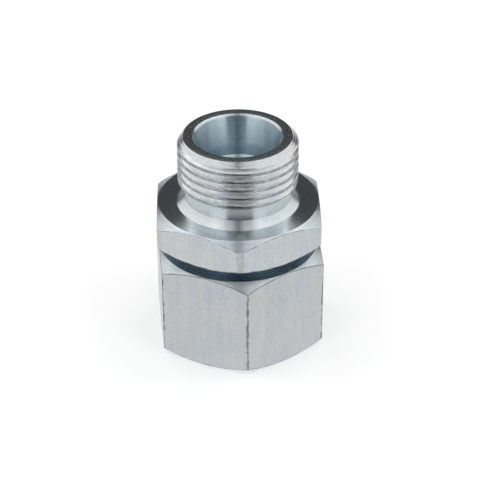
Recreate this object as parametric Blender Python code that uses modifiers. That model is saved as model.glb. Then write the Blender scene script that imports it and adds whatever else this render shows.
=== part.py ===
"""A straight adapter for hydraulic tube, of zinc-plated steel.

The body is turned from hexagon bar: a threaded stud with a cone socket for a tube, a spanner hexagon,
and a shank that ends in a cone nose with a rubber seal. A hexagon nut turns on the shank. A split wire
ring, half in the shank and half in the nut, keeps it there.

The part stands on the nut. The origin is the centre of the nut's lower face, and +Z runs up through
the stud. Sizes are in metres.
"""

import math

import bmesh
import bpy

COLLECTION_NAME = "straight_adapter"
GUIDE_COLLECTION_NAME = "hexagon_bars"

# Both hexagons
ACROSS_FLATS = 0.027
END_BEVEL_ANGLE = math.radians(30)
LAND_INSET = 0.00015
BODY_HEX_TURN = math.radians(1.2)
NUT_HEX_TURN = math.radians(5.4)

# Tube socket in the stud
CONE_HALF_ANGLE = math.radians(12)
TUBE_BORE = 0.01225
CONE_LENGTH = 0.0048
TUBE_SEAT_LENGTH = 0.0022
MOUTH_BREAK = 0.0003
FLOW_BORE = 0.008
DRILL_HALF_ANGLE = math.radians(59)

# Stud, its thread relief and the hexagon under it
STUD_WALL = 0.002855
STUD_LENGTH = 0.012
STUD_END_BEVEL = 0.00105
NECK_DEPTH = 0.0009
NECK_LENGTH = 0.0019
FOOT_FLARE = 0.0003
FOOT_HEIGHT = 0.0012
HEX_THICKNESS = 0.006
CORNER_TURNED_OFF = 0.00034

# Cone nose and its seal
NOSE_DIAMETER = 0.0173
NOSE_LENGTH = 0.007
NOSE_RECESS = 0.0026
SHANK_STEP = 0.00035
STEP_BEVEL = 0.0006
EDGE_BREAK = 0.0004
SEAL_SECTION = 0.002
SEAL_STAND_OUT = 0.0003
SEAL_CLEARANCE = 0.00025
SEAL_SIDE_CLEARANCE = 0.0003
SEAL_ABOVE_TIP = 0.0034

# Swivel nut
NUT_THREAD_DIAMETER = 0.022
NUT_THREAD_PITCH = 0.0015
NUT_THREAD_LENGTH = 0.0098
NUT_RELIEF_STEP = 0.0002
NUT_RELIEF_LENGTH = 0.0014
NUT_BORE_LAND = 0.0007
NUT_REAR_WALL = 0.0014
NUT_SHANK_CLEARANCE = 0.0003
NUT_TO_HEX_GAP = 0.0018

# Retaining ring
RING_WIRE = 0.0018
RING_CLEARANCE = 0.0003
RING_SPLIT_ANGLE = math.radians(30)

# How finely round shapes are divided
TURNED_STEPS = 60
GROOVE_STEPS = 8
SEAL_SECTION_STEPS = 12
RING_POINTS = 56
WIRE_STEPS = 2
MERGE_DISTANCE = 0.00001
SMOOTH_UNDER = math.radians(25)
BAR_OVERHANG = 0.002

# An internal thread's crests stand this share of the pitch inside its outer diameter
INTERNAL_THREAD_SHARE = 0.54127

# Radii, from the tube outwards
tube_radius = TUBE_BORE / 2
flow_radius = FLOW_BORE / 2
mouth_radius = tube_radius + CONE_LENGTH * math.tan(CONE_HALF_ANGLE)
stud_radius = mouth_radius + STUD_WALL
neck_radius = stud_radius - NECK_DEPTH
foot_radius = stud_radius + FOOT_FLARE
flat_distance = ACROSS_FLATS / 2
land_radius = flat_distance - LAND_INSET
hex_corner_radius = flat_distance / math.cos(math.radians(30))
turned_corner_radius = hex_corner_radius - CORNER_TURNED_OFF
nose_radius = NOSE_DIAMETER / 2
shank_radius = nose_radius + SHANK_STEP
nut_bore_radius = shank_radius + NUT_SHANK_CLEARANCE
nut_crest_radius = NUT_THREAD_DIAMETER / 2 - INTERNAL_THREAD_SHARE * NUT_THREAD_PITCH
nut_relief_radius = NUT_THREAD_DIAMETER / 2 + NUT_RELIEF_STEP

# The ring's wire lies half in the shank and half in the nut
ring_radius = (shank_radius + nut_bore_radius) / 2
ring_groove = RING_WIRE / 2 + RING_CLEARANCE

# Heights, from the nut's lower face up
nut_relief_top = NUT_THREAD_LENGTH + NUT_RELIEF_LENGTH
nut_shoulder_top = nut_relief_top + (nut_relief_radius - nut_bore_radius)
ring_height = nut_shoulder_top + NUT_BORE_LAND + ring_groove
nut_top = ring_height + ring_groove + NUT_REAR_WALL
hex_bottom = nut_top + NUT_TO_HEX_GAP
hex_top = hex_bottom + HEX_THICKNESS
stud_top = hex_top + STUD_LENGTH
tube_stop = stud_top - CONE_LENGTH - TUBE_SEAT_LENGTH
nose_tip = NOSE_RECESS
nose_top = nose_tip + NOSE_LENGTH
seal_height = nose_tip + SEAL_ABOVE_TIP


def remove_everything():
    """Clears the scene, so that the model starts from nothing."""
    for item in list(bpy.data.objects):
        bpy.data.objects.remove(item, do_unlink=True)


def new_collection(name):
    """Makes a collection in the scene."""
    collection = bpy.data.collections.new(name)
    bpy.context.scene.collection.children.link(collection)
    return collection


def new_material(name, colour, metallic, roughness):
    """Makes a plain material of one colour."""
    material = bpy.data.materials.new(name)
    material.use_nodes = True
    shader = material.node_tree.nodes["Principled BSDF"]
    shader.inputs["Base Color"].default_value = (*colour, 1.0)
    shader.inputs["Metallic"].default_value = metallic
    shader.inputs["Roughness"].default_value = roughness
    return material


def arc(centre_radius, centre_height, radius, start, end, steps):
    """Gives points along an arc in the profile's plane, both ends included."""
    points = []
    for step in range(steps + 1):
        angle = start + (end - start) * step / steps
        points.append((centre_radius + radius * math.cos(angle), centre_height + radius * math.sin(angle)))
    return points


def turned_solid(name, profile, collection):
    """Turns a closed profile round the Z axis. The profile runs down its outer side and up its inner."""
    mesh = bpy.data.meshes.new(name)
    corners = [(radius, 0.0, height) for radius, height in profile]
    sides = [(index, (index + 1) % len(corners)) for index in range(len(corners))]
    mesh.from_pydata(corners, sides, [])
    solid = bpy.data.objects.new(name, mesh)
    collection.objects.link(solid)
    screw = solid.modifiers.new("turned", "SCREW")
    screw.axis = "Z"
    screw.angle = math.tau
    screw.steps = TURNED_STEPS
    screw.render_steps = TURNED_STEPS
    screw.use_merge_vertices = True
    screw.merge_threshold = MERGE_DISTANCE
    return solid


def hexagon_bar(name, bottom, top, turn, collection):
    """Makes a length of hexagon bar with one corner towards -Y, turned a little about Z."""
    mesh = bpy.data.meshes.new(name)
    shape = bmesh.new()
    bmesh.ops.create_cone(
        shape,
        cap_ends=True,
        segments=6,
        radius1=hex_corner_radius,
        radius2=hex_corner_radius,
        depth=top - bottom + 2 * BAR_OVERHANG,
    )
    shape.to_mesh(mesh)
    shape.free()
    bar = bpy.data.objects.new(name, mesh)
    bar.location.z = (bottom + top) / 2
    bar.rotation_euler.z = turn
    bar.hide_render = True
    bar.display_type = "WIRE"
    collection.objects.link(bar)
    return bar


def keep_inside_bar(solid, bar):
    """Leaves of a turned solid what lies inside its hexagon bar, which gives it its flats."""
    flats = solid.modifiers.new("flats", "BOOLEAN")
    flats.operation = "INTERSECT"
    flats.solver = "EXACT"
    flats.object = bar


def smooth_round_faces(solid):
    """Shades the round faces smooth and keeps the real edges sharp."""
    solid.data.shade_smooth()
    solid.data.set_sharp_from_angle(angle=SMOOTH_UNDER)


def bevelled_ends(outer_radius, bottom, top):
    """Gives a hexagon's turned outline, down its outer side, with both ends bevelled."""
    drop = (outer_radius - land_radius) * math.tan(END_BEVEL_ANGLE)
    return [
        (land_radius, top),
        (outer_radius, top - drop),
        (outer_radius, bottom + drop),
        (land_radius, bottom),
    ]


def nose_radius_at(height):
    """Gives the cone nose's radius at a height."""
    return nose_radius - (nose_top - height) * math.tan(CONE_HALF_ANGLE)


def groove_reach(radius):
    """Gives how far the ring's round groove reaches up and down where it breaks out at a radius."""
    return math.sqrt(ring_groove**2 - (radius - ring_radius) ** 2)


def seal_centre_radius():
    """Gives the radius of the seal's centre line: it stands a little proud of the nose."""
    return nose_radius_at(seal_height) + SEAL_STAND_OUT - SEAL_SECTION / 2


def stud_outline():
    """Gives the stud from its rim down to the hexagon: end bevel, thread, relief and flared foot."""
    neck_top = hex_top + FOOT_HEIGHT + NECK_LENGTH
    return [
        (mouth_radius + MOUTH_BREAK, stud_top),
        (stud_radius - STUD_END_BEVEL, stud_top),
        (stud_radius, stud_top - STUD_END_BEVEL),
        (stud_radius, neck_top + NECK_DEPTH),
        (neck_radius, neck_top),
        (neck_radius, hex_top + FOOT_HEIGHT),
        (foot_radius, hex_top),
    ]


def shank_outline():
    """Gives the shank from the hexagon down to the nose, with its half of the ring's round groove."""
    reach = math.atan2(groove_reach(shank_radius), shank_radius - ring_radius)
    groove = arc(ring_radius, ring_height, ring_groove, reach, math.tau - reach, GROOVE_STEPS)
    return [(shank_radius, hex_bottom), *groove, (shank_radius, nose_top + STEP_BEVEL)]


def nose_outline():
    """Gives the cone nose from its large end down to its tip, with the seal's groove."""
    groove_top = seal_height + SEAL_SECTION / 2 + SEAL_SIDE_CLEARANCE
    groove_bottom = seal_height - SEAL_SECTION / 2 - SEAL_SIDE_CLEARANCE
    groove_radius = seal_centre_radius() - SEAL_SECTION / 2 - SEAL_CLEARANCE
    return [
        (nose_radius, nose_top),
        (nose_radius_at(groove_top), groove_top),
        (groove_radius, groove_top),
        (groove_radius, groove_bottom),
        (nose_radius_at(groove_bottom), groove_bottom),
        (nose_radius_at(nose_tip + EDGE_BREAK), nose_tip + EDGE_BREAK),
        (nose_radius_at(nose_tip) - EDGE_BREAK, nose_tip),
    ]


def bore_outline():
    """Gives the way through, from the nose's tip up: flow bore, drilled step, tube seat and cone."""
    step_height = (tube_radius - flow_radius) / math.tan(DRILL_HALF_ANGLE)
    return [
        (flow_radius + EDGE_BREAK, nose_tip),
        (flow_radius, nose_tip + EDGE_BREAK),
        (flow_radius, tube_stop - step_height),
        (tube_radius, tube_stop),
        (tube_radius, stud_top - CONE_LENGTH),
        (mouth_radius, stud_top - MOUTH_BREAK),
    ]


def make_adapter_body(parts, bars, steel):
    """Turns the body in one piece and gives it the flats of its hexagon bar."""
    hexagon = bevelled_ends(turned_corner_radius, hex_bottom, hex_top)
    profile = stud_outline() + hexagon + shank_outline() + nose_outline() + bore_outline()
    body = turned_solid("adapter_body", profile, parts)
    bar = hexagon_bar("body_bar", nose_tip, stud_top, BODY_HEX_TURN, bars)
    keep_inside_bar(body, bar)
    body.data.materials.append(steel)
    smooth_round_faces(body)
    return body


def nut_inside():
    """Gives the nut's inside from its lower face up: mouth, thread, relief, shoulder, bore and groove."""
    mouth_step = nut_relief_radius - nut_crest_radius
    reach = math.atan2(groove_reach(nut_bore_radius), nut_bore_radius - ring_radius)
    groove = arc(ring_radius, ring_height, ring_groove, -reach, reach, GROOVE_STEPS)
    return [
        (nut_relief_radius, 0.0),
        (nut_crest_radius, mouth_step),
        (nut_crest_radius, NUT_THREAD_LENGTH - mouth_step),
        (nut_relief_radius, NUT_THREAD_LENGTH),
        (nut_relief_radius, nut_relief_top),
        (nut_bore_radius, nut_shoulder_top),
        *groove,
        (nut_bore_radius, nut_top - EDGE_BREAK),
        (nut_bore_radius + EDGE_BREAK, nut_top),
    ]


def make_swivel_nut(parts, bars, steel):
    """Makes the nut that turns on the shank, with its origin on the axis it turns about."""
    outside = bevelled_ends(hex_corner_radius + LAND_INSET, 0.0, nut_top)
    nut = turned_solid("swivel_nut", outside + nut_inside(), parts)
    bar = hexagon_bar("nut_bar", 0.0, nut_top, NUT_HEX_TURN, bars)
    keep_inside_bar(nut, bar)
    nut.data.materials.append(steel)
    smooth_round_faces(nut)
    return nut


def make_retaining_ring(parts, steel):
    """Bends the split wire ring. Its ends face each other at the back of the adapter."""
    curve = bpy.data.curves.new("retaining_ring", "CURVE")
    curve.dimensions = "3D"
    curve.bevel_depth = RING_WIRE / 2
    curve.bevel_resolution = WIRE_STEPS
    curve.use_fill_caps = True
    wire = curve.splines.new("POLY")
    wire.points.add(RING_POINTS)
    start = math.pi / 2 + RING_SPLIT_ANGLE / 2
    sweep = math.tau - RING_SPLIT_ANGLE
    for index, point in enumerate(wire.points):
        angle = start + sweep * index / RING_POINTS
        point.co = (ring_radius * math.cos(angle), ring_radius * math.sin(angle), 0.0, 1.0)
    wire.use_smooth = True
    curve.materials.append(steel)
    ring = bpy.data.objects.new("retaining_ring", curve)
    ring.location.z = ring_height
    parts.objects.link(ring)
    return ring


def make_o_ring(parts, rubber):
    """Makes the rubber seal of round section in the nose's groove."""
    bpy.ops.mesh.primitive_torus_add(
        major_radius=seal_centre_radius(),
        minor_radius=SEAL_SECTION / 2,
        major_segments=TURNED_STEPS,
        minor_segments=SEAL_SECTION_STEPS,
        location=(0.0, 0.0, seal_height),
    )
    seal = bpy.context.object
    seal.name = "o_ring"
    seal.data.name = "o_ring"
    for collection in list(seal.users_collection):
        collection.objects.unlink(seal)
    parts.objects.link(seal)
    seal.data.materials.append(rubber)
    seal.data.shade_smooth()
    return seal


remove_everything()
adapter_parts = new_collection(COLLECTION_NAME)
bar_guides = new_collection(GUIDE_COLLECTION_NAME)
zinc_body = new_material("zinc_plated_body", (0.62, 0.64, 0.66), 1.0, 0.3)
zinc_nut = new_material("zinc_plated_nut", (0.66, 0.68, 0.70), 1.0, 0.34)
spring_steel = new_material("spring_steel_wire", (0.36, 0.36, 0.37), 1.0, 0.35)
black_rubber = new_material("black_rubber", (0.015, 0.015, 0.016), 0.0, 0.55)
make_adapter_body(adapter_parts, bar_guides, zinc_body)
make_swivel_nut(adapter_parts, bar_guides, zinc_nut)
make_retaining_ring(adapter_parts, spring_steel)
make_o_ring(adapter_parts, black_rubber)
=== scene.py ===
"""The looks of the straight adapter: a turned zinc-plated body with a cut thread, a hexagon nut that
turns on it, and the wire ring and rubber seal inside. Sizes are in metres, heights run up from the
nut's lower face, and radii are taken from the common axis, which is Z."""

import math

import bpy
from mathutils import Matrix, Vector


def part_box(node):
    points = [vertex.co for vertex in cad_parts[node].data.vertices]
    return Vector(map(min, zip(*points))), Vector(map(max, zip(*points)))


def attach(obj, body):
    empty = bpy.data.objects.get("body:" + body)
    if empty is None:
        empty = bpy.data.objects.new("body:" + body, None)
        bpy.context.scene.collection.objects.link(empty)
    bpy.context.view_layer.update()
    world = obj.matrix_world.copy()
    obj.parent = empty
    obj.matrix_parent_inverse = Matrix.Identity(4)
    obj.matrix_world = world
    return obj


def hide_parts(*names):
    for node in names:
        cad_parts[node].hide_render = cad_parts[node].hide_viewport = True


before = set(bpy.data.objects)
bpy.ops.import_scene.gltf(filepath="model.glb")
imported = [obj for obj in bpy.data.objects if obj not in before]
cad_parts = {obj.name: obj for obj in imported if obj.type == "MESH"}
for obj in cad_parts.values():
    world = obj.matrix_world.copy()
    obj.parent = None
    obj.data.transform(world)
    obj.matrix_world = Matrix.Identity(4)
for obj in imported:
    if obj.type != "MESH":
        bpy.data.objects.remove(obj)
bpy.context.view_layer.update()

# Adapter body
# One piece of free-cutting steel, turned from hexagon bar on a lathe with its thread cut last, and then
# zinc-plated and passivated. Its faces keep fine rings where they were turned and faint upright lines
# where the bar was drawn.
STUD_RADIUS = 0.01
STUD_LENGTH = 0.012
STUD_END_BEVEL = 0.00105
MOUTH_RADIUS = 0.007145
MOUTH_BREAK = 0.0003
CONE_LENGTH = 0.0048
CONE_SLOPE = math.tan(math.radians(12))
TUBE_RADIUS = 0.006125
TUBE_DEPTH = 0.007
DRILL_DEPTH = 0.0083
FLOW_RADIUS = 0.004
EDGE_BREAK = 0.0004
HEX_THICKNESS = 0.006
FLAT_DISTANCE = 0.0135
LAND_RADIUS = 0.01335
END_BEVEL = math.tan(math.radians(30))
BODY_CORNER_RADIUS = 0.01525
BODY_TURN = math.radians(1.2)
SHANK_RADIUS = 0.009
SHANK_STEP = 0.0006
RING_RADIUS = 0.00915
RING_GROOVE = 0.0012
GROOVE_STEPS = 12
NOSE_RADIUS = 0.00865
NOSE_LENGTH = 0.007
SEAL_SECTION = 0.002
SEAL_CLEARANCE = 0.00025
SEAL_GROOVE_HALF = 0.0013

# the neck between the thread and the hexagon: its foot, its top and the thread's foot over the hexagon
FOOT_RADIUS = 0.0103
NECK_RADIUS = 0.0091
FOOT_TOP = 0.0012
NECK_TOP = 0.0031
THREAD_FOOT = 0.004

# the thread: its groove is round at the root, and its crests are rounded below and sloped off above
THREAD_PITCH = 0.0015
FLANK = math.tan(math.radians(30))
STUD_ROOT_RADIUS = 0.00912
STUD_ROOT_WIDTH = 0.00012
STUD_ROOT_ROUND = 0.0001
STUD_CREST_ROUND = 0.00006
STUD_CREST_START = 0.00983
CREST_LEAN = 1 / math.tan(math.radians(33))
UPPER_ROOT_ARC = (math.pi, math.radians(120), 2)
LOWER_ROOT_ARC = (math.pi, math.radians(240), 2)
UPPER_CREST_ARC = (math.radians(-60), 0, 2)
STUD_THREAD_PHASE = math.radians(-26.4)
STUD_THREAD_END = 0.0022
STUD_THREAD_BAND = (0.009, 0.01005)
STUD_THREAD_BAND_FOOT = 0.0025

# how finely the metal is divided, and how closely a face or an edge keeps to the size or direction
# that tells which one it is
TURNED_STEPS = 192
MERGE_DISTANCE = 0.000002
SHARP = math.radians(24)
EDGE_ROUND = 0.00006
NEAR = 0.0001
LEVEL = 0.995
LEAN_ALLOWED = 0.02

body_low, body_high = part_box("adapter_body")
ring_low, ring_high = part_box("retaining_ring")
seal_low, seal_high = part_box("o_ring")
ring_height = (ring_low.z + ring_high.z) / 2
seal_height = (seal_low.z + seal_high.z) / 2
stud_top = body_high.z
nose_tip = body_low.z
hex_top = stud_top - STUD_LENGTH
hex_bottom = hex_top - HEX_THICKNESS
nose_top = nose_tip + NOSE_LENGTH


def start_clean():
    """Leaves nothing selected, so that an operator acts on the new piece alone."""
    if bpy.context.object and bpy.context.object.mode != "OBJECT":
        bpy.ops.object.mode_set(mode="OBJECT")
    bpy.ops.object.select_all(action="DESELECT")


def take(piece):
    """Makes one piece the selected and active one."""
    start_clean()
    piece.select_set(True)
    bpy.context.view_layer.objects.active = piece


def name_piece(name):
    """Puts the new piece's place into its mesh and names both."""
    bpy.ops.object.transform_apply(location=True, rotation=True, scale=True)
    piece = bpy.context.object
    piece.name = name
    piece.data.name = name
    return piece


def face_outwards(piece):
    """Turns every face outwards."""
    take(piece)
    bpy.ops.object.mode_set(mode="EDIT")
    bpy.ops.mesh.select_all(action="SELECT")
    bpy.ops.mesh.normals_make_consistent(inside=False)
    bpy.ops.object.mode_set(mode="OBJECT")
    furthest = max(piece.data.polygons, key=lambda face: face.center.x)
    if furthest.normal.x < 0:
        bpy.ops.object.mode_set(mode="EDIT")
        bpy.ops.mesh.select_all(action="SELECT")
        bpy.ops.mesh.flip_normals()
        bpy.ops.object.mode_set(mode="OBJECT")


def turn_outline(name, outline):
    """Turns a closed outline of radius and height: a circle at its first point, extruded ring by ring."""
    start_clean()
    radius, height = outline[0]
    bpy.ops.mesh.primitive_circle_add(vertices=TURNED_STEPS, radius=radius, location=(0, 0, height))
    piece = name_piece(name)
    bpy.ops.object.mode_set(mode="EDIT")
    bpy.ops.mesh.select_all(action="SELECT")
    for next_radius, next_height in outline[1:] + outline[:1]:
        share = next_radius / radius
        bpy.ops.mesh.extrude_edges_indiv()
        bpy.ops.transform.resize(value=(share, share, 1), center_override=(0, 0, 0))
        bpy.ops.transform.translate(value=(0, 0, next_height - height))
        radius, height = next_radius, next_height
    bpy.ops.mesh.select_all(action="SELECT")
    bpy.ops.mesh.remove_doubles(threshold=MERGE_DISTANCE)
    bpy.ops.object.mode_set(mode="OBJECT")
    face_outwards(piece)
    return piece


def arc(centre_radius, centre_height, radius, start, end, steps):
    """Points of an arc in the outline's plane."""
    turns = [start + (end - start) * step / steps for step in range(steps + 1)]
    return [(centre_radius + radius * math.cos(a), centre_height + radius * math.sin(a)) for a in turns]


def bevelled_hexagon(corner_radius, bottom, top):
    """A hexagon's turned outline from its top face to its bottom face."""
    drop = (corner_radius - LAND_RADIUS) * END_BEVEL
    return [
        (LAND_RADIUS, top),
        (corner_radius, top - drop),
        (corner_radius, bottom + drop),
        (LAND_RADIUS, bottom),
    ]


def nose_radius(height):
    """The cone nose's radius at a height."""
    return NOSE_RADIUS - (nose_top - height) * CONE_SLOPE


def groove_reach(edge_radius):
    """The angle, at the wire's middle, from level to where the ring's groove breaks out at a radius."""
    across = edge_radius - RING_RADIUS
    return math.atan2(math.sqrt(RING_GROOVE**2 - across**2), across)


def thread_tool(name, section, top, bottom, phase):
    """The way of a thread-cutting tool: its section is screwed down from top to bottom."""
    start_clean()
    bpy.ops.mesh.primitive_circle_add(vertices=len(section), radius=THREAD_PITCH / 2, location=(0, 0, 0))
    tool = name_piece(name)
    for corner, (radius, height) in zip(tool.data.vertices, section):
        corner.co = (radius * math.cos(phase), radius * math.sin(phase), top + height)
    bpy.ops.object.modifier_add(type="SCREW")
    screw = tool.modifiers[-1]
    screw.axis = "Z"
    screw.angle = math.tau
    screw.screw_offset = -THREAD_PITCH
    screw.iterations = math.ceil((top - bottom) / THREAD_PITCH)
    screw.steps = TURNED_STEPS
    screw.render_steps = TURNED_STEPS
    screw.use_merge_vertices = False
    bpy.ops.object.modifier_apply(modifier=screw.name)
    bpy.ops.object.mode_set(mode="EDIT")
    bpy.ops.mesh.select_mode(type="EDGE")
    bpy.ops.mesh.select_all(action="DESELECT")
    bpy.ops.mesh.select_non_manifold()
    bpy.ops.mesh.fill_holes(sides=len(section))
    bpy.ops.object.mode_set(mode="OBJECT")
    face_outwards(tool)
    return tool


def cut_with(piece, tool):
    """Cuts the tool's way out of the piece, and removes the tool."""
    take(piece)
    bpy.ops.object.modifier_add(type="BOOLEAN")
    cut = piece.modifiers[-1]
    cut.operation = "DIFFERENCE"
    cut.solver = "EXACT"
    cut.object = tool
    bpy.ops.object.modifier_apply(modifier=cut.name)
    bpy.data.objects.remove(tool, do_unlink=True)
    face_outwards(piece)


def mill_flats(piece, turn):
    """Cuts the six flats of the hexagon, with one corner turned from -Y by the given angle."""
    take(piece)
    bpy.ops.object.mode_set(mode="EDIT")
    for side in range(6):
        angle = turn + math.radians(60 * side)
        away = Vector((math.cos(angle), math.sin(angle), 0))
        flat = away * FLAT_DISTANCE
        bpy.ops.mesh.select_all(action="SELECT")
        bpy.ops.mesh.bisect(plane_co=flat, plane_no=away, use_fill=True, clear_outer=True, threshold=1e-7)
    bpy.ops.object.mode_set(mode="OBJECT")


def out_from_axis(point):
    """The distance from the common axis."""
    return math.hypot(point.x, point.y)


def slot_of(piece, finish):
    """The number of the piece's material slot that holds a finish."""
    return piece.data.materials.find(finish.name)


def has_finish(piece, face, *finishes):
    """Whether a face wears one of the finishes."""
    return face.material_index in [slot_of(piece, finish) for finish in finishes]


def give_finish(piece, finish, wanted):
    """Gives a finish to the faces that the test picks out by face, radius and height of its middle."""
    take(piece)
    bpy.ops.object.mode_set(mode="EDIT")
    bpy.ops.mesh.select_mode(type="FACE")
    bpy.ops.mesh.select_all(action="DESELECT")
    bpy.ops.object.mode_set(mode="OBJECT")
    for face in piece.data.polygons:
        face.select = wanted(face, out_from_axis(face.center), face.center.z)
    piece.active_material_index = slot_of(piece, finish)
    bpy.ops.object.mode_set(mode="EDIT")
    bpy.ops.object.material_slot_assign()
    bpy.ops.object.mode_set(mode="OBJECT")


def on_flat(face):
    """Whether a face is one of the hexagon's flats, apart from the rounds beside it."""
    past_flat = face.center.dot(face.normal) - FLAT_DISTANCE
    return abs(face.normal.z) < LEAN_ALLOWED and -NEAR / 2 < past_flat < NEAR / 10


def break_edges(piece, width, segments, wanted):
    """Rounds the sharp edges that the test picks out by middle and direction, and wears them dull."""
    take(piece)
    bpy.ops.object.mode_set(mode="EDIT")
    bpy.ops.mesh.select_mode(type="EDGE")
    bpy.ops.mesh.select_all(action="DESELECT")
    bpy.ops.mesh.edges_select_sharp(sharpness=SHARP)
    bpy.ops.object.mode_set(mode="OBJECT")
    points = piece.data.vertices
    for edge in piece.data.edges:
        start, end = (points[corner].co for corner in edge.vertices)
        upright = abs(end.z - start.z) > LEVEL * (end - start).length
        if edge.select and not wanted((start + end) / 2, upright):
            edge.select = False
    worn = slot_of(piece, worn_zinc)
    bpy.ops.object.mode_set(mode="EDIT")
    bpy.ops.mesh.bevel(offset=width, segments=segments, affect="EDGES", clamp_overlap=True, material=worn)
    bpy.ops.object.mode_set(mode="OBJECT")


def smooth_rounds(piece):
    """Smooths the rounds and turned faces, and keeps the larger faces beside them truly flat."""
    take(piece)
    bpy.ops.object.shade_smooth_by_angle(angle=SHARP)
    bpy.ops.object.modifier_add(type="WEIGHTED_NORMAL")
    level = piece.modifiers[-1]
    level.keep_sharp = True
    bpy.ops.object.modifier_apply(modifier=level.name)


def new_group(name, inputs, outputs):
    """An effect that several finishes share, with its named inputs and outputs."""
    group = bpy.data.node_groups.new(name, "ShaderNodeTree")
    for label, kind, value in inputs:
        socket = group.interface.new_socket(name=label, in_out="INPUT", socket_type=kind)
        socket.default_value = value
    for label in outputs:
        kind = "NodeSocketColor" if label == "Colour" else "NodeSocketFloat"
        group.interface.new_socket(name=label, in_out="OUTPUT", socket_type=kind)
    group.nodes.new("NodeGroupInput")
    group.nodes.new("NodeGroupOutput")
    return group


def given(group, label):
    """A value that the finish gives to a shared effect."""
    return group.nodes["Group Input"].outputs[label]


def put_out(group, label, value):
    """Hands a value of a shared effect to the finish."""
    group.links.new(value, group.nodes["Group Output"].inputs[label])


def effect(tree, group, **values):
    """Places a shared effect in a finish, with this finish's own values."""
    node = tree.nodes.new("ShaderNodeGroup")
    node.node_tree = group
    for label, value in values.items():
        node.inputs[label.replace("_", " ")].default_value = value
    return node.outputs


def calculate(tree, operation, *terms):
    """One step of arithmetic. Each term is a number or another node's output."""
    step = tree.nodes.new("ShaderNodeMath")
    step.operation = operation
    for index, term in enumerate(terms):
        if isinstance(term, (int, float)):
            step.inputs[index].default_value = term
        else:
            tree.links.new(term, step.inputs[index])
    return step.outputs[0]


def object_place(tree):
    """A point's place on the piece, in metres."""
    return tree.nodes.new("ShaderNodeTexCoord").outputs["Object"]


def stretched(tree, place, stretch, shift=(0, 0, 0)):
    """The place, stretched along each axis and shifted."""
    spread = tree.nodes.new("ShaderNodeMapping")
    spread.inputs["Scale"].default_value = stretch
    spread.inputs["Location"].default_value = shift
    tree.links.new(place, spread.inputs["Vector"])
    return spread.outputs["Vector"]


def shifted(tree, place, shift):
    """The place, shifted to another part of the noise."""
    return stretched(tree, place, (1, 1, 1), shift)


def clouds(tree, place, per_metre, detail):
    """Soft noise with so many clouds to the metre."""
    noise = tree.nodes.new("ShaderNodeTexNoise")
    noise.inputs["Scale"].default_value = per_metre
    noise.inputs["Detail"].default_value = detail
    tree.links.new(place, noise.inputs["Vector"])
    return noise.outputs["Fac"]


def rings(tree, along, per_metre, detail):
    """Noise along one measure only, such as the rings that a cutting edge leaves."""
    noise = tree.nodes.new("ShaderNodeTexNoise")
    noise.noise_dimensions = "1D"
    noise.inputs["Scale"].default_value = per_metre
    noise.inputs["Detail"].default_value = detail
    tree.links.new(along, noise.inputs["W"])
    return noise.outputs["Fac"]


def rise(tree, value, low, high, first=0.0, last=1.0):
    """Goes smoothly from the first number to the last as the value goes from low to high."""
    change = tree.nodes.new("ShaderNodeMapRange")
    change.interpolation_type = "SMOOTHSTEP"
    change.inputs["From Min"].default_value = low
    change.inputs["From Max"].default_value = high
    change.inputs["To Min"].default_value = first
    change.inputs["To Max"].default_value = last
    tree.links.new(value, change.inputs["Value"])
    return change.outputs["Result"]


def radius_and_height(tree, place):
    """The distance from the common axis, and the height."""
    level = tree.nodes.new("ShaderNodeVectorMath")
    level.operation = "MULTIPLY"
    level.inputs[1].default_value = (1, 1, 0)
    length = tree.nodes.new("ShaderNodeVectorMath")
    length.operation = "LENGTH"
    split = tree.nodes.new("ShaderNodeSeparateXYZ")
    tree.links.new(place, level.inputs[0])
    tree.links.new(level.outputs[0], length.inputs[0])
    tree.links.new(place, split.inputs[0])
    return length.outputs["Value"], split.outputs["Z"]


def multiply_colours(tree):
    """A node that multiplies two colours, with its amount, both colours and result."""
    mix = tree.nodes.new("ShaderNodeMix")
    mix.data_type = "RGBA"
    mix.blend_type = "MULTIPLY"
    return mix.inputs[0], mix.inputs[6], mix.inputs[7], mix.outputs[2]


def tint(tree, colour, amount, shade):
    """Multiplies a colour by a shade, by an amount from 0 to 1."""
    share, first, second, result = multiply_colours(tree)
    second.default_value = (*shade, 1)
    tree.links.new(amount, share)
    tree.links.new(colour, first)
    return result


def ramp_node(tree, stops):
    """A colour ramp with its stops."""
    ramp = tree.nodes.new("ShaderNodeValToRGB")
    first, last = ramp.color_ramp.elements
    first.position, first.color = stops[0]
    last.position, last.color = stops[-1]
    for place, colour in stops[1:-1]:
        ramp.color_ramp.elements.new(place).color = colour
    return ramp


def relief(tree, shader, height, depth):
    """Gives the surface its fine relief, of a depth in metres."""
    bump = tree.nodes.new("ShaderNodeBump")
    bump.inputs["Distance"].default_value = depth
    tree.links.new(height, bump.inputs["Height"])
    tree.links.new(bump.outputs["Normal"], shader.inputs["Normal"])


def new_metal(name):
    """A plated metal finish, and its tree and shader."""
    finish = bpy.data.materials.new(name)
    finish.use_nodes = True
    shader = finish.node_tree.nodes["Principled BSDF"]
    shader.inputs["Metallic"].default_value = 1
    return finish, finish.node_tree, shader


def smooth_along_rings(tree, shader, strength):
    """Makes a shader smooth round the axis and rough across it, as a cutting edge leaves the metal."""
    shader.inputs["Anisotropic"].default_value = strength
    shader.inputs["Anisotropic Rotation"].default_value = 0.25
    round_axis = tree.nodes.new("ShaderNodeTangent")
    round_axis.direction_type = "RADIAL"
    round_axis.axis = "Z"
    tree.links.new(round_axis.outputs["Tangent"], shader.inputs["Tangent"])


# the spans of values that soft noise mostly keeps to
NOISE_SPAN = (0.35, 0.65)
WIDE_SPAN = (0.3, 0.7)

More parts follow.
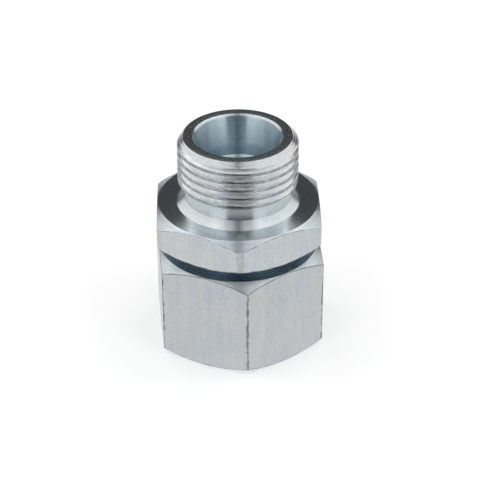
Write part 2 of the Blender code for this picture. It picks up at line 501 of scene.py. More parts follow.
# clear passivation: the thin film on the zinc shifts a little between lavender, grey and straw
FILM_TINTS = [
    (0.30, (0.94, 0.965, 1.02, 1)),
    (0.45, (0.99, 1.00, 1.00, 1)),
    (0.56, (1.015, 1.01, 0.965, 1)),
    (0.70, (1.02, 1.00, 1.00, 1)),
]
film = new_group(
    "clear_passivation",
    [("Plating", "NodeSocketColor", (0.6, 0.62, 0.64, 1)), ("Patch Scale", "NodeSocketFloat", 140.0)],
    ["Colour"],
)
patches = film.nodes.new("ShaderNodeTexNoise")
patches.inputs["Detail"].default_value = 3
patches.inputs["Distortion"].default_value = 0.6
film.links.new(object_place(film), patches.inputs["Vector"])
film.links.new(given(film, "Patch Scale"), patches.inputs["Scale"])
tints = ramp_node(film, FILM_TINTS)
film.links.new(patches.outputs["Fac"], tints.inputs["Fac"])
share, first, second, tinted = multiply_colours(film)
share.default_value = 1
film.links.new(given(film, "Plating"), first)
film.links.new(tints.outputs["Color"], second)
put_out(film, "Colour", tinted)

# turning marks: fine rings, and the broader bands between two passes of the tool, which also lie across
# an upright face because the height counts in them
HEIGHT_SHARE = 0.6
marks = new_group("turning_marks", [], ["Height", "Bands"])
radius, height = radius_and_height(marks, object_place(marks))
along = calculate(marks, "MULTIPLY_ADD", height, HEIGHT_SHARE, radius)
put_out(marks, "Height", rings(marks, along, per_metre=9000, detail=3))
put_out(marks, "Bands", rings(marks, along, per_metre=1700, detail=2))

# draw lines: the bar was pulled through its die along its length
lines = new_group("draw_lines", [], ["Lines", "Streaks"])
place = object_place(lines)
fine = stretched(lines, place, (1, 1, 0.05))
broad = stretched(lines, place, (1, 1, 0.12), (0.3, 0.1, 0.7))
put_out(lines, "Lines", clouds(lines, fine, per_metre=3400, detail=2))
put_out(lines, "Streaks", clouds(lines, broad, per_metre=900, detail=3))

# specks: small dark pits in clusters, and grains of zinc that catch the light
specks = new_group("plating_specks", [], ["Pits", "Glints", "Grain"])
place = object_place(specks)
by_clusters = shifted(specks, place, (0.2, 0.5, 0.1))
by_glints = shifted(specks, place, (0.6, 0.2, 0.9))
pits = rise(specks, clouds(specks, place, per_metre=4300, detail=2), 0.66, 0.72)
clusters = rise(specks, clouds(specks, by_clusters, per_metre=420, detail=3), 0.48, 0.60)
glints = rise(specks, clouds(specks, by_glints, per_metre=5200, detail=1), 0.68, 0.75)
put_out(specks, "Pits", calculate(specks, "MULTIPLY", pits, clusters))
put_out(specks, "Glints", glints)
put_out(specks, "Grain", clouds(specks, place, per_metre=2100, detail=4))

# edge wear: a dull ragged line along the edges of a hexagon, where the plating was knocked, from a
# fifth to one and a half times its own width and fading at its border
RAGGED_SHARES = (0.2, 1.5)
FADE_FROM = 0.4
wear = new_group(
    "edge_wear",
    [
        ("Turn", "NodeSocketFloat", 0.0),
        ("Top", "NodeSocketFloat", 0.0),
        ("Bottom", "NodeSocketFloat", 0.0),
        ("Corner Radius", "NodeSocketFloat", 0.0),
        ("Width", "NodeSocketFloat", 0.0002),
    ],
    ["Wear"],
)
place = object_place(wear)
radius, height = radius_and_height(wear, place)
square = wear.nodes.new("ShaderNodeVectorRotate")
square.rotation_type = "Z_AXIS"
wear.links.new(place, square.inputs["Vector"])
wear.links.new(calculate(wear, "MULTIPLY", given(wear, "Turn"), -1.0), square.inputs["Angle"])
reach = 0.0
for side in range(3):
    angle = math.radians(60 * side)
    towards = wear.nodes.new("ShaderNodeVectorMath")
    towards.operation = "DOT_PRODUCT"
    towards.inputs[1].default_value = (math.cos(angle), math.sin(angle), 0)
    wear.links.new(square.outputs[0], towards.inputs[0])
    reach = calculate(wear, "MAXIMUM", calculate(wear, "ABSOLUTE", towards.outputs["Value"]), reach)
drop = calculate(wear, "MULTIPLY", calculate(wear, "SUBTRACT", radius, LAND_RADIUS), END_BEVEL)
below_top = calculate(wear, "SUBTRACT", calculate(wear, "SUBTRACT", given(wear, "Top"), drop), height)
above_bottom = calculate(wear, "SUBTRACT", height, calculate(wear, "ADD", given(wear, "Bottom"), drop))
from_corner = calculate(wear, "SUBTRACT", given(wear, "Corner Radius"), radius)
on_side = calculate(wear, "MINIMUM", calculate(wear, "MINIMUM", below_top, above_bottom), from_corner)
from_edge = calculate(wear, "MAXIMUM", on_side, calculate(wear, "SUBTRACT", FLAT_DISTANCE, reach))
ragged = rise(wear, clouds(wear, place, per_metre=650, detail=5), 0.36, 0.66, *RAGGED_SHARES)
ragged = calculate(wear, "MULTIPLY", given(wear, "Width"), ragged)
share = calculate(wear, "DIVIDE", from_edge, ragged)
put_out(wear, "Wear", rise(wear, share, FADE_FROM, 1.0, 1.0, 0.0))

# turned faces: the shades of the bands, grain and pits on them, and how much the bands and glints dull
TURNED_BAND_SHADE = (0.93, 0.94, 0.95)
TURNED_GRAIN_SHADE = (0.90, 0.91, 0.92)
TURNED_PIT_SHADE = (0.45, 0.46, 0.48)
BAND_DULLING = 0.04
GLINT_DULLING = 0.25


def lathe_finish(name, plating, patches, roughness, drawn_out, depth, lean=0.0):
    """A face cut on the lathe: smooth along its rings, rough across them. The rings may lean outwards."""
    finish, tree, shader = new_metal(name)
    smooth_along_rings(tree, shader, drawn_out)
    colour = effect(tree, film, Plating=(*plating, 1), Patch_Scale=patches)["Colour"]
    marked = effect(tree, marks)
    dusted = effect(tree, specks)
    colour = tint(tree, colour, rise(tree, marked["Bands"], *NOISE_SPAN), TURNED_BAND_SHADE)
    colour = tint(tree, colour, rise(tree, dusted["Grain"], *NOISE_SPAN), TURNED_GRAIN_SHADE)
    colour = tint(tree, colour, dusted["Pits"], TURNED_PIT_SHADE)
    tree.links.new(colour, shader.inputs["Base Color"])
    dull = calculate(tree, "MULTIPLY_ADD", dusted["Glints"], GLINT_DULLING, roughness - BAND_DULLING / 2)
    dull = calculate(tree, "MULTIPLY_ADD", marked["Bands"], BAND_DULLING, dull)
    tree.links.new(dull, shader.inputs["Roughness"])
    radius, height = radius_and_height(tree, object_place(tree))
    fine_rings = calculate(tree, "MULTIPLY", marked["Height"], depth)
    relief(tree, shader, calculate(tree, "MULTIPLY_ADD", radius, -lean, fine_rings), depth=1.0)
    return finish


TURNED_ZINC = (0.665, 0.71, 0.745)
turned_zinc = lathe_finish(
    "turned_zinc", TURNED_ZINC, patches=110, roughness=0.3, drawn_out=0.85, depth=0.000003
)

# the level faces, and the hexagon's shoulder, whose fine steps lean outwards
FACED_ZINC = (0.60, 0.65, 0.675)
SHOULDER_ZINC = (0.64, 0.70, 0.73)
SHOULDER_LEAN = math.tan(math.radians(10))
faced_zinc = lathe_finish(
    "faced_zinc", FACED_ZINC, patches=160, roughness=0.22, drawn_out=0.5, depth=0.000002
)
shoulder_zinc = lathe_finish(
    "shoulder_zinc",
    SHOULDER_ZINC,
    patches=160,
    roughness=0.17,
    drawn_out=0.9,
    depth=0.000001,
    lean=SHOULDER_LEAN,
)

# the socket, bluer, and darker further in: painted shade on the tube's seat and the flow bore, deep in
# the socket
BORED_ZINC = (0.63, 0.73, 0.785)
DEEP_PAINTED_SHADE_ZINC = (0.53, 0.66, 0.745)
bored_zinc = lathe_finish(
    "bored_zinc", BORED_ZINC, patches=120, roughness=0.32, drawn_out=1.0, depth=0.000004
)
deep_socket_painted_shade_zinc = lathe_finish(
    "deep_socket_painted_shade_zinc", DEEP_PAINTED_SHADE_ZINC, patches=120, roughness=0.3, drawn_out=0.9, depth=0.000003
)

# the chamfer on the stud, cut with a coarse feed, down to where the thread begins to take it away
CHAMFERED_ZINC = (0.66, 0.685, 0.70)
CHAMFER_SHOWN = 0.001
chamfered_zinc = lathe_finish(
    "chamfered_zinc", CHAMFERED_ZINC, patches=160, roughness=0.22, drawn_out=0.5, depth=0.00006
)

# the shank and the faces in the gap between hexagon and nut: painted shade, a darker colour where shade
# falls between the parts
GAP_PAINTED_SHADE_ZINC = (0.53, 0.63, 0.70)
SHADED_LEAN = math.tan(math.radians(3))
gap_painted_shade_zinc = lathe_finish(
    "gap_painted_shade_zinc",
    GAP_PAINTED_SHADE_ZINC,
    patches=140,
    roughness=0.27,
    drawn_out=0.8,
    depth=0.000002,
    lean=SHADED_LEAN,
)

# the thread: drawn out round the axis by its tool, with small burrs and torn spots, and painted shade
# along its crests, a dark line that is fainter in places
THREADED_ZINC = (0.81, 0.83, 0.85)
THREAD_DRAWN_OUT = 0.15
THREAD_ROUGHNESS = (0.22, 0.38)
BURR_HEIGHT = 2.0
TORN_SHADE = (0.91, 0.915, 0.92)
CREST_PAINTED_SHADE = (0.33, 0.34, 0.36)
THREAD_PIT_SHADE = (0.35, 0.36, 0.38)
CREST_INSIDE = (0.00980, 0.00985)
CREST_OUTSIDE = (0.01003, 0.01008)
threaded_zinc, tree, shader = new_metal("threaded_zinc")
smooth_along_rings(tree, shader, THREAD_DRAWN_OUT)
colour = effect(tree, film, Plating=(*THREADED_ZINC, 1), Patch_Scale=260)["Colour"]
place = object_place(tree)
torn = clouds(tree, stretched(tree, place, (0.22, 0.22, 1)), per_metre=4200, detail=3)
smeared_place = stretched(tree, place, (0.4, 0.4, 1), (0.4, 0.4, 0.1))
smears = clouds(tree, smeared_place, per_metre=1500, detail=3)
dusted = effect(tree, specks)
burrs = calculate(tree, "MULTIPLY", rise(tree, smears, 0.50, 0.66), dusted["Grain"])
colour = tint(tree, colour, rise(tree, torn, 0.36, 0.50, 1.0, 0.0), TORN_SHADE)
radius, height = radius_and_height(tree, place)
# painted shade: a dark line along the stud thread's crests, fainter in places
inner_edge = rise(tree, radius, *CREST_INSIDE)
crest = calculate(tree, "SUBTRACT", inner_edge, rise(tree, radius, *CREST_OUTSIDE))
knocks_and_shade_breaks = rise(tree, clouds(tree, place, per_metre=1100, detail=3), 0.35, 0.55, 0.78, 1.0)
colour = tint(tree, colour, calculate(tree, "MULTIPLY", crest, knocks_and_shade_breaks), CREST_PAINTED_SHADE)
colour = tint(tree, colour, dusted["Pits"], THREAD_PIT_SHADE)
tree.links.new(colour, shader.inputs["Base Color"])
tree.links.new(rise(tree, smears, *WIDE_SPAN, *THREAD_ROUGHNESS), shader.inputs["Roughness"])
relief(tree, shader, calculate(tree, "MULTIPLY_ADD", burrs, BURR_HEIGHT, torn), depth=0.000011)

# the rounded edges, where the plating is thin and dull
WORN_ZINC = (0.33, 0.34, 0.35)
WORN_KNOCK_SHADE = (0.62, 0.63, 0.65)
WORN_ROUGHNESS = (0.60, 0.42)
worn_zinc, tree, shader = new_metal("worn_zinc")
colour = effect(tree, film, Plating=(*WORN_ZINC, 1), Patch_Scale=300)["Colour"]
dusted = effect(tree, specks)
knocks_and_shade_breaks = clouds(tree, object_place(tree), per_metre=800, detail=3)
colour = tint(tree, colour, rise(tree, knocks_and_shade_breaks, 0.40, 0.62), WORN_KNOCK_SHADE)
tree.links.new(colour, shader.inputs["Base Color"])
tree.links.new(rise(tree, dusted["Grain"], *WIDE_SPAN, *WORN_ROUGHNESS), shader.inputs["Roughness"])
relief(tree, shader, dusted["Grain"], depth=0.000008)

# the skin of the bar that is left on its turned corners, grey and grainy
ROLLED_SKIN = (0.59, 0.60, 0.585)
SKIN_GRAIN_SHADE = (0.80, 0.80, 0.80)
rolled_skin, tree, shader = new_metal("rolled_skin")
shader.inputs["Roughness"].default_value = 0.42
colour = effect(tree, film, Plating=(*ROLLED_SKIN, 1), Patch_Scale=120)["Colour"]
dusted = effect(tree, specks)
colour = tint(tree, colour, rise(tree, dusted["Grain"], 0.42, 0.60), SKIN_GRAIN_SHADE)
tree.links.new(colour, shader.inputs["Base Color"])
relief(tree, shader, dusted["Grain"], depth=0.00001)

# the flats: the shades of the draw lines, streaks, grain, pits and dull edges on them
DRAWN_ROUGHNESS = (0.30, 0.40)
DRAWN_LINE_SHADE = (0.97, 0.97, 0.97)
DRAWN_STREAK_SHADE = (0.95, 0.955, 0.96)
DRAWN_GRAIN_SHADE = (0.94, 0.945, 0.95)
DRAWN_PIT_SHADE = (0.42, 0.43, 0.45)
EDGE_WEAR_SHADE = (0.34, 0.35, 0.37)
EDGE_WEAR_WIDTH = 0.00016
LINE_HEIGHT = 0.4


def drawn_finish(name, plating, turn, top, bottom, corner_radius):
    """The flats of one hexagon: satin, with draw lines, small pits and dull edges."""
    finish, tree, shader = new_metal(name)
    colour = effect(tree, film, Plating=(*plating, 1), Patch_Scale=130)["Colour"]
    drawn = effect(tree, lines)
    dusted = effect(tree, specks)
    worn = effect(
        tree, wear, Turn=turn, Top=top, Bottom=bottom, Corner_Radius=corner_radius, Width=EDGE_WEAR_WIDTH
    )
    colour = tint(tree, colour, rise(tree, drawn["Lines"], *NOISE_SPAN), DRAWN_LINE_SHADE)
    colour = tint(tree, colour, rise(tree, drawn["Streaks"], *NOISE_SPAN), DRAWN_STREAK_SHADE)
    colour = tint(tree, colour, rise(tree, dusted["Grain"], 0.35, 0.70), DRAWN_GRAIN_SHADE)
    colour = tint(tree, colour, dusted["Pits"], DRAWN_PIT_SHADE)
    colour = tint(tree, colour, worn["Wear"], EDGE_WEAR_SHADE)
    tree.links.new(colour, shader.inputs["Base Color"])
    tree.links.new(rise(tree, dusted["Grain"], *WIDE_SPAN, *DRAWN_ROUGHNESS), shader.inputs["Roughness"])
    skin = calculate(tree, "MULTIPLY_ADD", drawn["Lines"], LINE_HEIGHT, dusted["Grain"])
    relief(tree, shader, skin, depth=0.000004)
    return finish


# the body's own corners are turned off, so its wear has no line along them: the corner lies past them
BODY_DRAWN_ZINC = (0.605, 0.63, 0.65)
BODY_WEAR_CORNER = 0.02
body_flats = drawn_finish(
    "drawn_body_zinc", BODY_DRAWN_ZINC, BODY_TURN, hex_top, hex_bottom, BODY_WEAR_CORNER
)

seal_groove_radius = (seal_high.x - SEAL_SECTION) - SEAL_CLEARANCE
seal_groove_top = seal_height + SEAL_GROOVE_HALF
seal_groove_bottom = seal_height - SEAL_GROOVE_HALF
shank_reach = groove_reach(SHANK_RADIUS)
body_outline = [
    (MOUTH_RADIUS + MOUTH_BREAK, stud_top),
    (STUD_RADIUS - STUD_END_BEVEL, stud_top),
    (STUD_RADIUS, stud_top - STUD_END_BEVEL),
    (STUD_RADIUS, hex_top + THREAD_FOOT),
    (NECK_RADIUS, hex_top + NECK_TOP),
    (NECK_RADIUS, hex_top + FOOT_TOP),
    (FOOT_RADIUS, hex_top),
    *bevelled_hexagon(BODY_CORNER_RADIUS, hex_bottom, hex_top),
    (SHANK_RADIUS, hex_bottom),
    *arc(RING_RADIUS, ring_height, RING_GROOVE, shank_reach, math.tau - shank_reach, GROOVE_STEPS),
    (SHANK_RADIUS, nose_top + SHANK_STEP),
    (nose_radius(nose_top), nose_top),
    (nose_radius(seal_groove_top), seal_groove_top),
    (seal_groove_radius, seal_groove_top),
    (seal_groove_radius, seal_groove_bottom),
    (nose_radius(seal_groove_bottom), seal_groove_bottom),
    (nose_radius(nose_tip + EDGE_BREAK), nose_tip + EDGE_BREAK),
    (nose_radius(nose_tip) - EDGE_BREAK, nose_tip),
    (FLOW_RADIUS + EDGE_BREAK, nose_tip),
    (FLOW_RADIUS, nose_tip + EDGE_BREAK),
    (FLOW_RADIUS, stud_top - DRILL_DEPTH),
    (TUBE_RADIUS, stud_top - TUBE_DEPTH),
    (TUBE_RADIUS, stud_top - CONE_LENGTH),
    (MOUTH_RADIUS, stud_top - MOUTH_BREAK),
]
adapter = turn_outline("turned_adapter", body_outline)

root_middle = STUD_ROOT_WIDTH / 2 - STUD_ROOT_ROUND * FLANK
crest_middle = STUD_ROOT_WIDTH / 2 + (STUD_RADIUS - STUD_ROOT_RADIUS) * FLANK + STUD_CREST_ROUND * FLANK
crest_start = STUD_ROOT_WIDTH / 2 + (STUD_CREST_START - STUD_ROOT_RADIUS) * FLANK
crest_end = -crest_start - (STUD_RADIUS - STUD_CREST_START) * CREST_LEAN
upper_side = [
    *arc(STUD_ROOT_RADIUS + STUD_ROOT_ROUND, root_middle, STUD_ROOT_ROUND, *UPPER_ROOT_ARC),
    *arc(STUD_RADIUS - STUD_CREST_ROUND, crest_middle, STUD_CREST_ROUND, *UPPER_CREST_ARC),
    (STUD_RADIUS + NEAR, crest_middle),
]
lower_side = [
    *arc(STUD_ROOT_RADIUS + STUD_ROOT_ROUND, -root_middle, STUD_ROOT_ROUND, *LOWER_ROOT_ARC),
    (STUD_CREST_START, -crest_start),
    (STUD_RADIUS, crest_end),
    (STUD_RADIUS + NEAR, crest_end),
]
tool = thread_tool(
    "stud_thread_tool",
    upper_side + lower_side[::-1],
    stud_top + THREAD_PITCH,
    hex_top + STUD_THREAD_END,
    STUD_THREAD_PHASE,
)
cut_with(adapter, tool)
mill_flats(adapter, BODY_TURN)
body_finishes = (
    turned_zinc,
    body_flats,
    threaded_zinc,
    worn_zinc,
    faced_zinc,
    bored_zinc,
    rolled_skin,
    shoulder_zinc,
    gap_painted_shade_zinc,
    chamfered_zinc,
    deep_socket_painted_shade_zinc,
)
for finish in body_finishes:
    adapter.data.materials.append(finish)


def off_stud_thread(middle, upright):
    """Every edge but those of the stud's thread, which stay as the tool left them."""
    in_band = STUD_THREAD_BAND[0] < out_from_axis(middle) < STUD_THREAD_BAND[1]
    return middle.z < hex_top + STUD_THREAD_BAND_FOOT or not in_band


def on_stud_thread(face, radius, height):
    """The thread's flanks, roots and crests."""
    in_groove = STUD_ROOT_RADIUS - NEAR < radius < STUD_RADIUS + NEAR
    return in_groove and height > hex_top + NECK_TOP and abs(face.normal.z) < LEVEL


def on_shoulder(face, radius, height):
    """The hexagon's flat turned ring."""
    return face.normal.z > LEVEL and height < hex_top + NEAR


def in_gap(face, radius, height):
    """The shank and the hexagon's underside, down to the nose."""
    between = SHANK_RADIUS - 2 * NEAR < radius and nose_top < height < hex_bottom + NEAR
    return between and has_finish(adapter, face, turned_zinc, faced_zinc)


def on_chamfer(face, radius, height):
    """The bevel at the stud's end, apart from what the thread takes of it."""
    at_end = height > stud_top - CHAMFER_SHOWN and STUD_RADIUS - STUD_END_BEVEL < radius < STUD_RADIUS
    return at_end and abs(face.normal.z - math.sqrt(0.5)) < LEAN_ALLOWED


def in_socket(face, radius, height):
    """The cone, the tube's seat and the flow bore."""
    return radius < MOUTH_RADIUS and has_finish(adapter, face, turned_zinc)


def on_turned_corner(face, radius, height):
    """The hexagon's corners, where the lathe met the bar's skin."""
    return radius > BODY_CORNER_RADIUS - NEAR / 2 and abs(face.normal.z) < LEAN_ALLOWED


break_edges(adapter, EDGE_ROUND, 2, off_stud_thread)
give_finish(adapter, threaded_zinc, on_stud_thread)
give_finish(adapter, body_flats, lambda face, radius, height: on_flat(face))
give_finish(adapter, faced_zinc, lambda face, radius, height: abs(face.normal.z) > LEVEL)
give_finish(adapter, bored_zinc, in_socket)
give_finish(adapter, rolled_skin, on_turned_corner)
give_finish(adapter, shoulder_zinc, on_shoulder)
# painted shade: the faces in the gap between hexagon and nut take the darker colour
give_finish(adapter, gap_painted_shade_zinc, in_gap)
give_finish(adapter, chamfered_zinc, on_chamfer)
# painted shade: the tube's seat and the flow bore, deep in the socket, take the darker colour
give_finish(
    adapter,
    deep_socket_painted_shade_zinc,
    lambda face, radius, height: radius < TUBE_RADIUS + NEAR and has_finish(adapter, face, bored_zinc),
)
smooth_rounds(adapter)
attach(adapter, "adapter")
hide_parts("adapter_body")

# Swivel nut
# A hexagon nut of the same bar, bored, threaded inside and zinc-plated. It is held on the shank by the
# wire ring in its round groove, and turns freely.
NUT_TURN = math.radians(5.4)
NUT_CORNER_RADIUS = 0.0158
NUT_CORNER_ROUND = 0.00013
NUT_SIDE_FROM = 0.013
NUT_INSIDE_RADIUS = 0.0125
NUT_BORE_RADIUS = 0.0093
NUT_SHOULDER_TOP = 0.0131
NUT_RELIEF_RADIUS = 0.0112
NUT_RELIEF_TOP = 0.0112
NUT_THREAD_RADIUS = 0.011
NUT_THREAD_LENGTH = 0.0098
NUT_CREST_RADIUS = 0.010188
NUT_TOOL_START = 0.01008
NUT_TOOL_HALF_MOUTH = 0.000625
NUT_TOOL_HALF_ROOT = 0.000095
NUT_THREAD_BAND = (0.0098, 0.01125)
NUT_DRAWN_ZINC = (0.56, 0.58, 0.60)
nut_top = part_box("swivel_nut")[1].z
nut_reach = groove_reach(NUT_BORE_RADIUS)
nut_outline = [
    *bevelled_hexagon(NUT_CORNER_RADIUS, 0.0, nut_top),
    (NUT_RELIEF_RADIUS, 0.0),
    (NUT_CREST_RADIUS, NUT_RELIEF_RADIUS - NUT_CREST_RADIUS),
    (NUT_CREST_RADIUS, NUT_THREAD_LENGTH - NUT_RELIEF_RADIUS + NUT_CREST_RADIUS),
    (NUT_RELIEF_RADIUS, NUT_THREAD_LENGTH),
    (NUT_RELIEF_RADIUS, NUT_RELIEF_TOP),
    (NUT_BORE_RADIUS, NUT_SHOULDER_TOP),
    *arc(RING_RADIUS, ring_height, RING_GROOVE, -nut_reach, nut_reach, GROOVE_STEPS),
    (NUT_BORE_RADIUS, nut_top - EDGE_BREAK),
    (NUT_BORE_RADIUS + EDGE_BREAK, nut_top),
]
nut = turn_outline("hexagon_swivel_nut", nut_outline)
nut_tool_section = [
    (NUT_TOOL_START, NUT_TOOL_HALF_MOUTH),
    (NUT_THREAD_RADIUS, NUT_TOOL_HALF_ROOT),
    (NUT_THREAD_RADIUS, -NUT_TOOL_HALF_ROOT),
    (NUT_TOOL_START, -NUT_TOOL_HALF_MOUTH),
]
tool = thread_tool("nut_thread_tool", nut_tool_section, NUT_THREAD_LENGTH, -THREAD_PITCH, 0)
cut_with(nut, tool)
mill_flats(nut, NUT_TURN)
nut_flats = drawn_finish(
    "drawn_nut_zinc", NUT_DRAWN_ZINC, NUT_TURN, nut_top, 0.0, FLAT_DISTANCE / math.cos(math.pi / 6)
)
for finish in (turned_zinc, nut_flats, threaded_zinc, worn_zinc, faced_zinc, bored_zinc, gap_painted_shade_zinc):
    nut.data.materials.append(finish)


def on_nut_corner(middle, upright):
    """The six upright corners of the nut."""
    return upright and out_from_axis(middle) > NUT_SIDE_FROM


def off_nut_thread(middle, upright):
    """Every edge but the upright ones and those of the thread."""
    return not upright and not NUT_THREAD_BAND[0] < out_from_axis(middle) < NUT_THREAD_BAND[1]


def on_nut_thread(face, radius, height):
    """The nut's thread, up to its relief."""
    in_groove = NUT_CREST_RADIUS - NEAR < radius < NUT_THREAD_RADIUS + NEAR
    return in_groove and height < NUT_THREAD_LENGTH and abs(face.normal.z) < LEVEL


def in_nut(face, radius, height):
    """The nut's bore, shoulder, relief and mouth."""
    return radius < NUT_INSIDE_RADIUS and has_finish(nut, face, turned_zinc)


break_edges(nut, NUT_CORNER_ROUND, 3, on_nut_corner)
break_edges(nut, EDGE_ROUND, 2, off_nut_thread)
give_finish(nut, threaded_zinc, on_nut_thread)
give_finish(nut, nut_flats, lambda face, radius, height: on_flat(face))
give_finish(nut, faced_zinc, lambda face, radius, height: face.normal.z < -LEVEL)
# painted shade: the nut's top face, in the gap under the hexagon, takes the darker colour
give_finish(nut, gap_painted_shade_zinc, lambda face, radius, height: face.normal.z > LEVEL)
give_finish(nut, bored_zinc, in_nut)
smooth_rounds(nut)
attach(nut, "nut")
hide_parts("swivel_nut")

# Retaining ring
# A split ring of round spring steel wire, bent cold and left bare. It lies half in the shank's groove
# and half in the nut's.
WIRE_STEEL = (0.36, 0.35, 0.34)
WIRE_SCALE_SHADE = (0.55, 0.50, 0.46)
WIRE_ROUGHNESS = (0.28, 0.48)
wire_steel, tree, shader = new_metal("bare_spring_wire")
place = object_place(tree)
radius, height = radius_and_height(tree, place)
scale_marks = clouds(tree, place, per_metre=1500, detail=4)
colour = effect(tree, film, Plating=(*WIRE_STEEL, 1), Patch_Scale=400)["Colour"]
colour = tint(tree, colour, rise(tree, scale_marks, 0.4, 0.65), WIRE_SCALE_SHADE)
tree.links.new(colour, shader.inputs["Base Color"])
tree.links.new(rise(tree, scale_marks, *WIDE_SPAN, *WIRE_ROUGHNESS), shader.inputs["Roughness"])
drawn_rings = rings(tree, calculate(tree, "ADD", radius, height), per_metre=12000, detail=2)
relief(tree, shader, drawn_rings, depth=0.000004)
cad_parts["retaining_ring"].material_slots[0].material = wire_steel

# Seal
# A moulded ring of black rubber in the groove of the cone nose, matt, with a trace of oil. It seals
# against the socket of the stud that the nut is screwed onto.
RUBBER = (0.018, 0.018, 0.019)
RUBBER_BLOOM = (0.035, 0.035, 0.037)
RUBBER_ROUGHNESS = (0.42, 0.62)
black_rubber = bpy.data.materials.new("black_seal_rubber")
black_rubber.use_nodes = True
tree = black_rubber.node_tree
shader = tree.nodes["Principled BSDF"]
place = object_place(tree)
bloom = clouds(tree, place, per_metre=900, detail=4)
rubber_colour = ramp_node(tree, [(0.35, (*RUBBER, 1)), (0.7, (*RUBBER_BLOOM, 1))])
tree.links.new(bloom, rubber_colour.inputs["Fac"])
tree.links.new(rubber_colour.outputs["Color"], shader.inputs["Base Color"])
tree.links.new(rise(tree, bloom, *WIDE_SPAN, *RUBBER_ROUGHNESS), shader.inputs["Roughness"])
relief(tree, shader, clouds(tree, place, per_metre=7000, detail=2), depth=0.000006)
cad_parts["o_ring"].material_slots[0].material = black_rubber

# Table and light
# A white paper sheet on a dark bench, under a tent of flat soft boxes: a box and a brighter front strip
# at each side, and a roof in three rows, brightest at the back, with a gap down its middle that is
# wider at both ends. The sheet ends a little way in front of the adapter.
TABLE_SIZE = 3
SHEET_FRONT = -0.12
PAPER_WHITE = 0.8
TABLE_GLOW = 0.36
GLOW_REACH = (0.05, 0.4)
BENCH_PAINT = (0.16, 0.17, 0.18)
BENCH_LIFT = 0.0002
TENT_HALF_WIDTH = 0.6
TENT_HEIGHT = 1.0
SIDE_FRONT = -0.4
SIDE_BACK = 0.66
SIDE_BRIGHTNESS = 1.05
LEFT_STRIP_FRONT = -1.4
RIGHT_STRIP_FRONT = -1.0
STRIP_BRIGHTNESS = 1.45
ROOF_REACH = 0.84
ROOF_SPLITS = (-0.25, 0.45)
ROOF_GAP = 0.034
ROOF_FRONT_GAP = 0.075
ROOF_REAR_GAP = 0.12
ROOF_BRIGHTNESS = 0.92
REAR_ROOF_BRIGHTNESS = 2.0
ROOM_BRIGHTNESS = 0.08
start_clean()
bpy.ops.mesh.primitive_plane_add(size=TABLE_SIZE, location=(0, 0, 0))
table = name_piece("white_table")
paper = bpy.data.materials.new("white_paper")
paper.use_nodes = True
tree = paper.node_tree
tree.nodes.clear()
out = tree.nodes.new("ShaderNodeOutputMaterial")
diffuse = tree.nodes.new("ShaderNodeBsdfDiffuse")
glow = tree.nodes.new("ShaderNodeEmission")
path = tree.nodes.new("ShaderNodeLightPath")
mirrored = calculate(tree, "MAXIMUM", path.outputs["Is Glossy Ray"], path.outputs["Is Transmission Ray"])

# the paper looks white to its edges, where the tent's light no longer reaches it
far_out, height = radius_and_height(tree, object_place(tree))
far_glow = rise(tree, far_out, *GLOW_REACH, TABLE_GLOW, 1.0)
seen = calculate(tree, "MULTIPLY", path.outputs["Is Camera Ray"], far_glow)
tree.links.new(calculate(tree, "MAXIMUM", mirrored, seen), glow.inputs["Strength"])
paper_colour = calculate(tree, "MULTIPLY_ADD", mirrored, -PAPER_WHITE, PAPER_WHITE)
tree.links.new(paper_colour, diffuse.inputs["Color"])
both = tree.nodes.new("ShaderNodeAddShader")
tree.links.new(diffuse.outputs[0], both.inputs[0])
tree.links.new(glow.outputs[0], both.inputs[1])
tree.links.new(both.outputs[0], out.inputs[0])
table.data.materials.append(paper)

# the bench in front of the sheet, which shows in the metal alone
start_clean()
bpy.ops.mesh.primitive_plane_add(size=TABLE_SIZE, location=(0, SHEET_FRONT - TABLE_SIZE / 2, BENCH_LIFT))
bench = name_piece("dark_bench")
bench_paint = bpy.data.materials.new("dark_bench_paint")
bench_paint.use_nodes = True
shader = bench_paint.node_tree.nodes["Principled BSDF"]
shader.inputs["Base Color"].default_value = (*BENCH_PAINT, 1)
shader.inputs["Roughness"].default_value = 0.8
bench.data.materials.append(bench_paint)
bench.visible_camera = False


def soft_box(name, centre, width, height, look_at, brightness):
    """A flat soft light that faces a point. At a brightness of 1 a mirror shows it as white."""
    lamp = bpy.data.lights.new(name, "AREA")
    lamp.shape = "RECTANGLE"
    lamp.size = width
    lamp.size_y = height
    lamp.energy = brightness * math.pi * width * height
    box = bpy.data.objects.new(name, lamp)
    box.location = centre
    box.rotation_euler = (Vector(centre) - Vector(look_at)).to_track_quat("Z", "Y").to_euler()
    box.visible_camera = False
    bpy.context.scene.collection.objects.link(box)


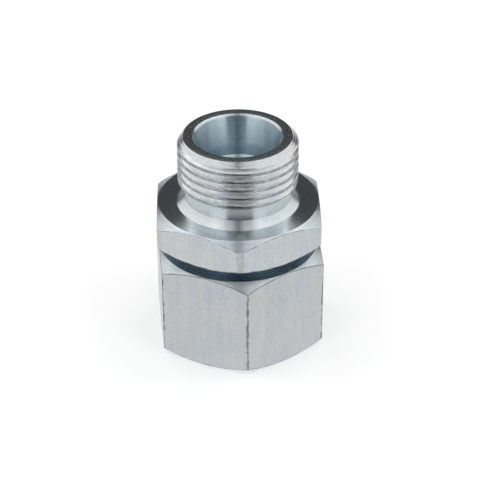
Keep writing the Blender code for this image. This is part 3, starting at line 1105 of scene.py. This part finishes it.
for side, word, strip_front in ((-1, "left", LEFT_STRIP_FRONT), (1, "right", RIGHT_STRIP_FRONT)):
    for part, front, rear, brightness in (
        ("soft_box", SIDE_FRONT, SIDE_BACK, SIDE_BRIGHTNESS),
        ("front_strip", strip_front, SIDE_FRONT, STRIP_BRIGHTNESS),
    ):
        facing = (0, (front + rear) / 2, TENT_HEIGHT / 2)
        spot = (side * TENT_HALF_WIDTH, *facing[1:])
        soft_box(f"{word}_{part}", spot, rear - front, TENT_HEIGHT, facing, brightness)
    for part, front, rear, gap, brightness in (
        ("roof_rear", ROOF_SPLITS[1], ROOF_REACH, ROOF_REAR_GAP, REAR_ROOF_BRIGHTNESS),
        ("roof_box", *ROOF_SPLITS, ROOF_GAP, ROOF_BRIGHTNESS),
        ("roof_front", -ROOF_REACH, ROOF_SPLITS[0], ROOF_FRONT_GAP, ROOF_BRIGHTNESS),
    ):
        facing = (side * (gap + TENT_HALF_WIDTH) / 2, (front + rear) / 2, 0)
        spot = (*facing[:2], TENT_HEIGHT)
        soft_box(f"{word}_{part}", spot, TENT_HALF_WIDTH - gap, rear - front, facing, brightness)

world = bpy.data.worlds.new("studio")
bpy.context.scene.world = world
world.use_nodes = True
tree = world.node_tree
room = tree.nodes["Background"]
room.inputs["Color"].default_value = (1, 1, 1, 1)
path = tree.nodes.new("ShaderNodeLightPath")
room_light = calculate(tree, "MAXIMUM", path.outputs["Is Camera Ray"], ROOM_BRIGHTNESS)
tree.links.new(room_light, room.inputs["Strength"])

# Camera
# It looks down at the adapter from the front, at the photograph's angle and a little rolled. The frame
# is 480 pixels wide, and the focal length is given in those pixels.
CAMERA_TARGET = (0.000264, 0, 0.017174)
CAMERA_DISTANCE = 0.2847
CAMERA_ELEVATION = math.radians(32.264)
CAMERA_ROLL = math.radians(-0.337)
FOCAL_PIXELS = 1682.8
FRAME_PIXELS = 480
SENSOR = 36.0
back = Vector((0, -math.cos(CAMERA_ELEVATION), math.sin(CAMERA_ELEVATION)))
upward = Vector((0, math.sin(CAMERA_ELEVATION), math.cos(CAMERA_ELEVATION)))
right = Vector((1, 0, 0)) * math.cos(CAMERA_ROLL) + upward * math.sin(CAMERA_ROLL)
over = upward * math.cos(CAMERA_ROLL) - Vector((1, 0, 0)) * math.sin(CAMERA_ROLL)
stand = Vector(CAMERA_TARGET) + back * CAMERA_DISTANCE
bpy.ops.object.camera_add()
camera = bpy.context.object
camera.data.sensor_width = SENSOR
camera.data.lens = FOCAL_PIXELS / FRAME_PIXELS * SENSOR
camera.data.clip_start = 0.01
camera.data.clip_end = 10
turn = camera.matrix_world.copy()
for row in range(3):
    turn[row] = (right[row], over[row], back[row], stand[row])
camera.matrix_world = turn
bpy.context.scene.camera = camera
bpy.context.scene.view_settings.view_transform = "Standard"
